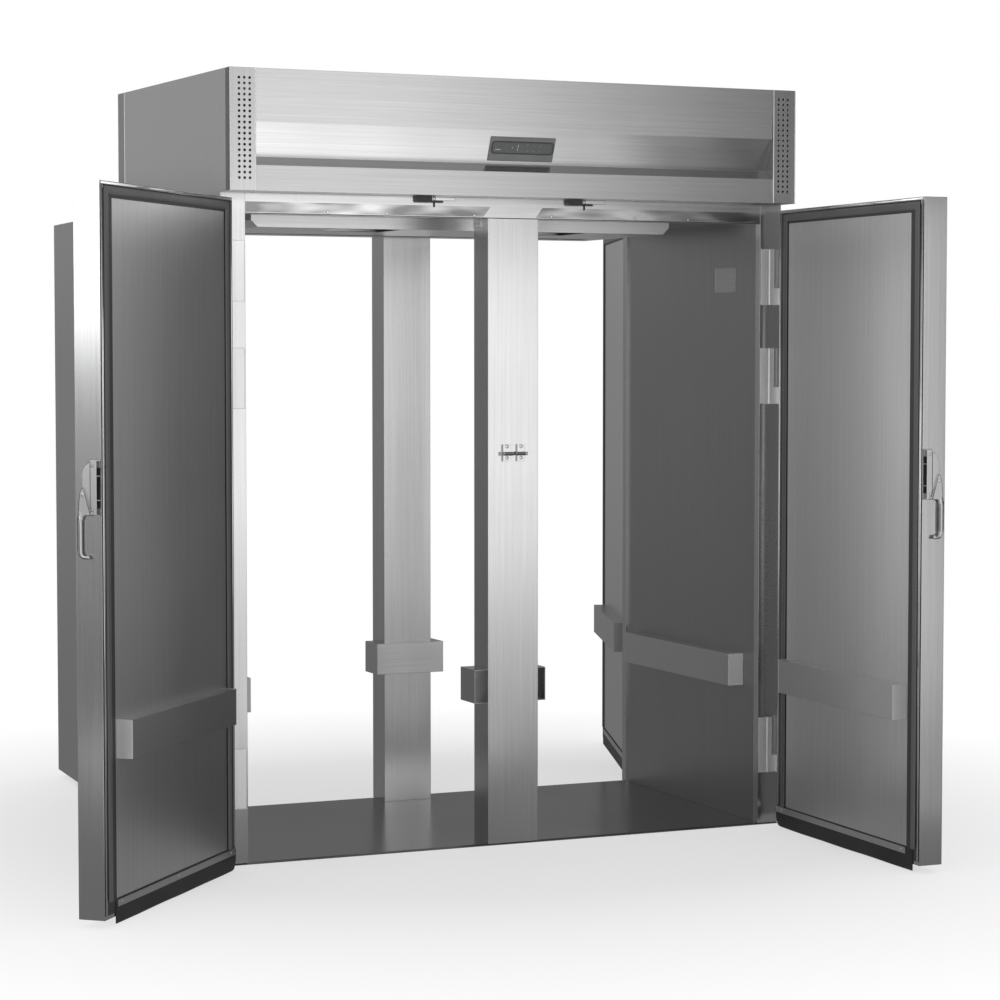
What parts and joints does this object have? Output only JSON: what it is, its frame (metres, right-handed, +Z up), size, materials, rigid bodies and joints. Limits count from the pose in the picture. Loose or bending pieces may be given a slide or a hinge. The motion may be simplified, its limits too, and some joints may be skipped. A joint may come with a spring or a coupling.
{
  "type": "commercial roll-through refrigerator",
  "caption": "Tall stainless roll-through refrigerator with insulated doors standing open at front and back, inner bumper rails, edge latches and a canopy that holds the cooling unit.",
  "frame": {"origin": "on the floor, under the middle of the cabinet", "axes": "+X to the right as seen from the front, +Y towards the back, +Z up"},
  "size_m": [2.6442, 2.6741, 2.194],
  "materials": {
    "stainless": "satin",
    "polished_steel": "polished",
    "foam": "matte",
    "black_rubber": "matte",
    "black_plastic": "satin",
    "panel_plastic": "satin",
    "white_plastic": "satin",
    "aluminium_fin": "satin",
    "black_paint": "satin",
    "copper": "satin",
    "fan_plastic": "satin"
  },
  "bodies": {
    "cabinet": {"floor_pan": "stainless", "left_side_wall": "stainless", "right_side_wall": "stainless", "interior_liner": "stainless", "head_rails": "stainless", "mullions": "stainless", "mullion_bumpers": "stainless", "wall_bumpers": "stainless", "vent_strips": "stainless", "canopy_side_panels": "stainless", "front_fascia": "stainless", "rear_fascia": "stainless", "top_panel": "stainless", "machine_deck": "stainless", "air_duct_panel": "stainless", "hinge_leaves": "polished_steel", "strikes": "polished_steel", "cabinet_insulation": "foam", "door_switches": "black_plastic", "control_panel": "panel_plastic", "evaporator_cover": "white_plastic", "evaporator_coil": "aluminium_fin", "condenser_unit": "aluminium_fin", "compressor": "black_paint", "refrigerant_lines": "copper"},
    "left_front_door": {"left_front_door_shell": "stainless", "left_front_door_core": "foam", "left_front_door_liner": "stainless", "left_front_door_gasket": "black_rubber", "left_front_door_bumper": "stainless", "left_front_door_sweep": "black_rubber", "left_front_door_hardware": "polished_steel"},
    "left_front_door_handle": {"left_front_door_handle": "polished_steel"},
    "right_front_door": {"right_front_door_shell": "stainless", "right_front_door_core": "foam", "right_front_door_liner": "stainless", "right_front_door_gasket": "black_rubber", "right_front_door_bumper": "stainless", "right_front_door_sweep": "black_rubber", "right_front_door_hardware": "polished_steel"},
    "right_front_door_handle": {"right_front_door_handle": "polished_steel"},
    "left_rear_door": {"left_rear_door_shell": "stainless", "left_rear_door_core": "foam", "left_rear_door_liner": "stainless", "left_rear_door_gasket": "black_rubber", "left_rear_door_bumper": "stainless", "left_rear_door_sweep": "black_rubber", "left_rear_door_hardware": "polished_steel"},
    "left_rear_door_handle": {"left_rear_door_handle": "polished_steel"},
    "right_rear_door": {"right_rear_door_shell": "stainless", "right_rear_door_core": "foam", "right_rear_door_liner": "stainless", "right_rear_door_gasket": "black_rubber", "right_rear_door_bumper": "stainless", "right_rear_door_sweep": "black_rubber", "right_rear_door_hardware": "polished_steel"},
    "right_rear_door_handle": {"right_rear_door_handle": "polished_steel"},
    "evaporator_fan_left": {"evaporator_fan_left": "fan_plastic"},
    "evaporator_fan_right": {"evaporator_fan_right": "fan_plastic"},
    "condenser_fan": {"condenser_fan": "fan_plastic"}
  },
  "joints": [
    {"name": "left_front_door_hinge", "type": "hinge", "parent": "cabinet", "child": "left_front_door", "pos_m": [-0.868, -0.488, 1], "axis": [0, 0, 1], "range_deg": [-2.9, 131.1]},
    {"name": "left_front_door_handle_pivot", "type": "hinge", "parent": "left_front_door", "child": "left_front_door_handle", "pos_m": [-1.43583, -1.11001, 1.068], "axis": [0.6574, 0.7536, 0], "range_deg": [0, 25], "stiffness_Nm_per_rad": 0.8, "springref_deg": -17.19},
    {"name": "right_front_door_hinge", "type": "hinge", "parent": "cabinet", "child": "right_front_door", "pos_m": [0.868, -0.488, 1], "axis": [0, 0, -1], "range_deg": [-45.5, 88.5]},
    {"name": "right_front_door_handle_pivot", "type": "hinge", "parent": "right_front_door", "child": "right_front_door_handle", "pos_m": [0.86495, -1.33021, 1.068], "axis": [-0.0262, -0.9997, 0], "range_deg": [0, 25], "stiffness_Nm_per_rad": 0.8, "springref_deg": -17.19},
    {"name": "left_rear_door_hinge", "type": "hinge", "parent": "cabinet", "child": "left_rear_door", "pos_m": [-0.868, 0.488, 1], "axis": [0, 0, -1], "range_deg": [-47, 87]},
    {"name": "left_rear_door_handle_pivot", "type": "hinge", "parent": "left_rear_door", "child": "left_rear_door_handle", "pos_m": [-0.84291, 1.32984, 1.068], "axis": [0.0523, 0.9986, 0], "range_deg": [0, 25], "stiffness_Nm_per_rad": 0.8, "springref_deg": -17.19},
    {"name": "right_rear_door_hinge", "type": "hinge", "parent": "cabinet", "child": "right_rear_door", "pos_m": [0.868, 0.488, 1], "axis": [0, 0, 1], "range_deg": [-24, 110]},
    {"name": "right_rear_door_handle_pivot", "type": "hinge", "parent": "right_rear_door", "child": "right_rear_door_handle", "pos_m": [1.17383, 1.27272, 1.068], "axis": [-0.342, -0.9397, 0], "range_deg": [0, 25], "stiffness_Nm_per_rad": 0.8, "springref_deg": -17.19},
    {"name": "evaporator_fan_left_spin", "type": "hinge", "parent": "cabinet", "child": "evaporator_fan_left", "pos_m": [-0.3, -0.01, 1.872], "axis": [0, 0, 1], "continuous": true},
    {"name": "evaporator_fan_right_spin", "type": "hinge", "parent": "cabinet", "child": "evaporator_fan_right", "pos_m": [0.3, -0.01, 1.872], "axis": [0, 0, 1], "continuous": true},
    {"name": "condenser_fan_spin", "type": "hinge", "parent": "cabinet", "child": "condenser_fan", "pos_m": [0.432, -0.32, 1.985], "axis": [-1, 0, 0], "continuous": true}
  ]
}
